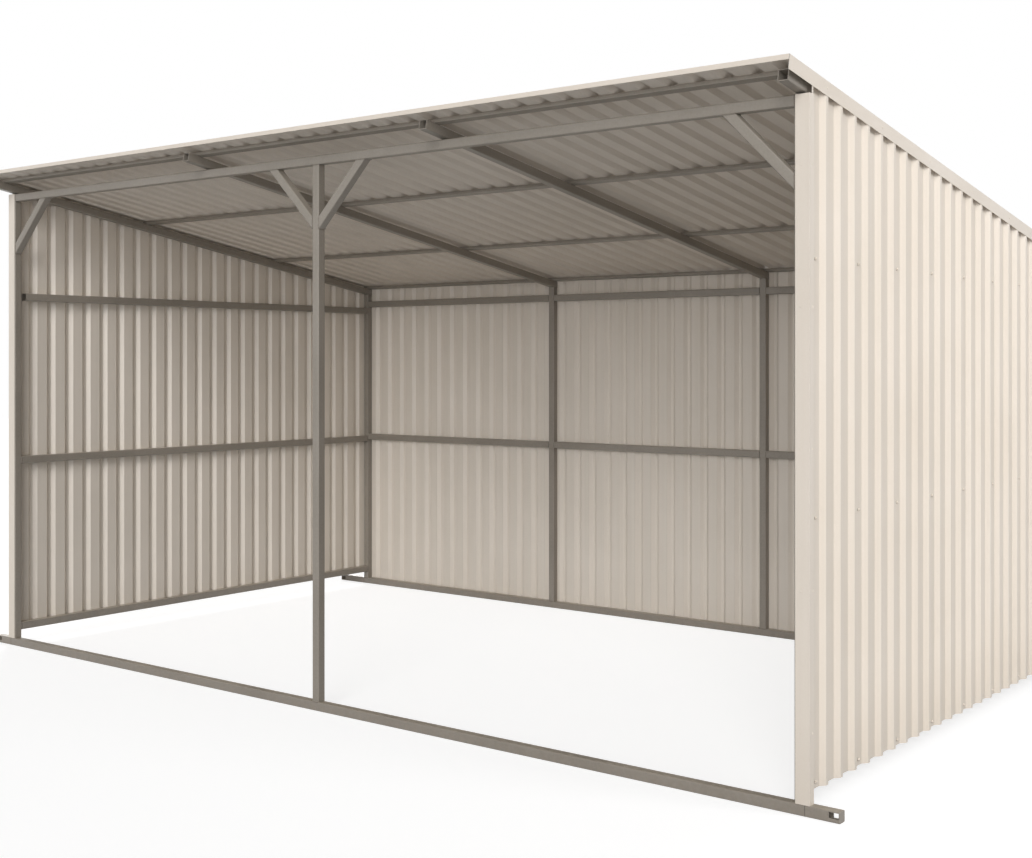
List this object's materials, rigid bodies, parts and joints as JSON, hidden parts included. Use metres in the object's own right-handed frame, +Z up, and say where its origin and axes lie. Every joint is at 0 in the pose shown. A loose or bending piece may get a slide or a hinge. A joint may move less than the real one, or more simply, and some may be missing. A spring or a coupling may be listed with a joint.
{
  "type": "livestock shelter",
  "caption": "Open-fronted mono-pitch field shelter for livestock: a square tube frame on tow skids, clad with ribbed steel sheet on the roof, the sides and the back.",
  "frame": {"origin": "on the ground under the skids, at the centre of the plan", "axes": "+X along the open front to the right, +Y from the open front to the back, +Z up"},
  "size_m": [5.21, 3.0126, 2.5621],
  "materials": {
    "cream_sheet": "pre-painted cream, low gloss",
    "frame_tube": "painted warm grey, low gloss"
  },
  "bodies": {
    "root": {"back_left_corner_flashing": "cream_sheet", "back_left_inner_post": "frame_tube", "back_left_outer_post": "frame_tube", "back_left_tow_end": "frame_tube", "back_mid_rails": "frame_tube", "back_purlin": "frame_tube", "back_right_corner_flashing": "cream_sheet", "back_right_inner_post": "frame_tube", "back_right_outer_post": "frame_tube", "back_right_tow_end": "frame_tube", "back_skid": "frame_tube", "back_upper_rails": "frame_tube", "back_wall_sheet": "cream_sheet", "centre_left_brace": "frame_tube", "centre_right_brace": "frame_tube", "front_capping": "cream_sheet", "front_centre_post": "frame_tube", "front_header": "frame_tube", "front_left_corner_flashing": "cream_sheet", "front_left_post": "frame_tube", "front_left_tow_end": "frame_tube", "front_purlin": "frame_tube", "front_right_corner_flashing": "cream_sheet", "front_right_post": "frame_tube", "front_right_tow_end": "frame_tube", "front_skid": "frame_tube", "left_barge_flashing": "cream_sheet", "left_bottom_rail": "frame_tube", "left_corner_brace": "frame_tube", "left_inner_rafter": "frame_tube", "left_mid_rail": "frame_tube", "left_outer_rafter": "frame_tube", "left_upper_rail": "frame_tube", "left_wall_sheet": "cream_sheet", "right_barge_flashing": "cream_sheet", "right_bottom_rail": "frame_tube", "right_corner_brace": "frame_tube", "right_inner_rafter": "frame_tube", "right_mid_rail": "frame_tube", "right_outer_rafter": "frame_tube", "right_upper_rail": "frame_tube", "right_wall_sheet": "cream_sheet", "roof_sheet": "cream_sheet", "second_purlin": "frame_tube", "third_purlin": "frame_tube"}
  },
  "joints": []
}
